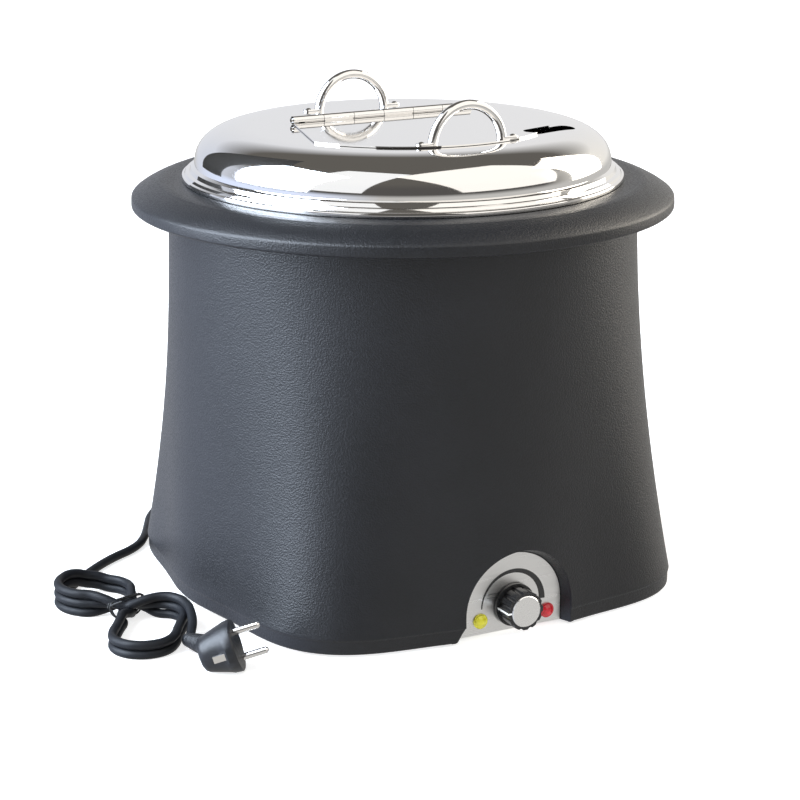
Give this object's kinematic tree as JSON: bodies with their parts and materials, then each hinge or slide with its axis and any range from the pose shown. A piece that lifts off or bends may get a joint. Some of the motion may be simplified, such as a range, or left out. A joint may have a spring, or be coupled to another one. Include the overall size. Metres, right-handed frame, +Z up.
{
  "type": "electric soup kettle",
  "caption": "Round electric soup kettle with a flared housing, lift-out pot, hinged mirror-steel lid, front thermostat knob and a tied mains lead.",
  "frame": {"origin": "on the surface it stands on, under the centre of the housing", "axes": "+Z up, -Y towards the control panel, +X to the right of someone facing the panel"},
  "size_m": [0.4675, 0.4528, 0.3669],
  "materials": {
    "housing_plastic": "fine leather grain",
    "pressed_steel": "satin",
    "polished_steel": "mirror polished",
    "panel_metal": "satin",
    "panel_print": "printed",
    "knob_plastic": "moulded",
    "knob_trim": "satin",
    "pointer_white": "smooth",
    "bright_steel": "plated",
    "cream_plastic": "moulded",
    "brass": "plated",
    "copper": "drawn",
    "amber_lens": "translucent",
    "red_lens": "translucent",
    "element_sheath": "oxidised",
    "aluminium": "cast",
    "galvanised": "galvanised",
    "wire_sleeve": "smooth",
    "rubber": "matt",
    "cord_rubber": "smooth",
    "plug_plastic": "moulded",
    "plug_metal": "plated"
  },
  "bodies": {
    "housing_body": {"housing": "housing_plastic", "rim_collar": "housing_plastic", "well_pan": "pressed_steel", "panel_plate": "panel_metal", "scale_print": "panel_print", "thermostat_body": "cream_plastic", "thermostat_nut": "brass", "sensor_bulb": "copper", "capillary_tube": "copper", "heating_lamp": "amber_lens", "low_water_lamp": "red_lens", "lamp_holders": "cream_plastic", "heating_element": "element_sheath", "heat_spreader": "aluminium", "heat_shield": "galvanised", "shield_nuts": "bright_steel", "thermal_cutout": "knob_plastic", "terminal_block": "cream_plastic", "wiring_loom": "wire_sleeve", "base_plate": "galvanised", "base_screws": "bright_steel", "rubber_feet": "rubber", "cord_gland": "knob_plastic", "gland_nut": "knob_plastic", "strain_relief": "cord_rubber", "mains_cord": "cord_rubber", "cord_hank": "cord_rubber", "cord_tie": "knob_plastic", "plug_body": "plug_plastic", "plug_pins": "plug_metal", "plug_earth_strips": "plug_metal"},
    "pot_body": {"soup_pot": "pressed_steel"},
    "lid_body": {"lid_shell": "polished_steel", "lid_locating_ring": "polished_steel", "hinge_lid_leaf": "polished_steel", "hinge_pin": "polished_steel", "lid_handle_rear": "polished_steel", "rear_handle_rivets": "polished_steel"},
    "flap_body": {"lid_flap": "polished_steel", "hinge_flap_leaf": "polished_steel", "lid_handle_front": "polished_steel", "front_handle_rivets": "polished_steel"},
    "knob_body": {"control_knob": "knob_plastic", "knob_cap": "knob_trim", "knob_pointer": "pointer_white", "thermostat_shaft": "bright_steel"}
  },
  "joints": [
    {"name": "pot_lift", "type": "slide", "parent": "housing_body", "child": "pot_body", "axis": [0, 0, 1], "range_m": [0, 0.25]},
    {"name": "lid_lift", "type": "slide", "parent": "pot_body", "child": "lid_body", "axis": [0, 0, 1], "range_m": [0, 0.12]},
    {"name": "flap_hinge", "type": "hinge", "parent": "lid_body", "child": "flap_body", "pos_m": [0, 0.032, 0.3396], "axis": [-1, 0, 0], "range_deg": [0, 140]},
    {"name": "knob_turn", "type": "hinge", "parent": "housing_body", "child": "knob_body", "pos_m": [0, -0.17, 0.021], "axis": [0, 1, 0], "range_deg": [0, 180]}
  ]
}
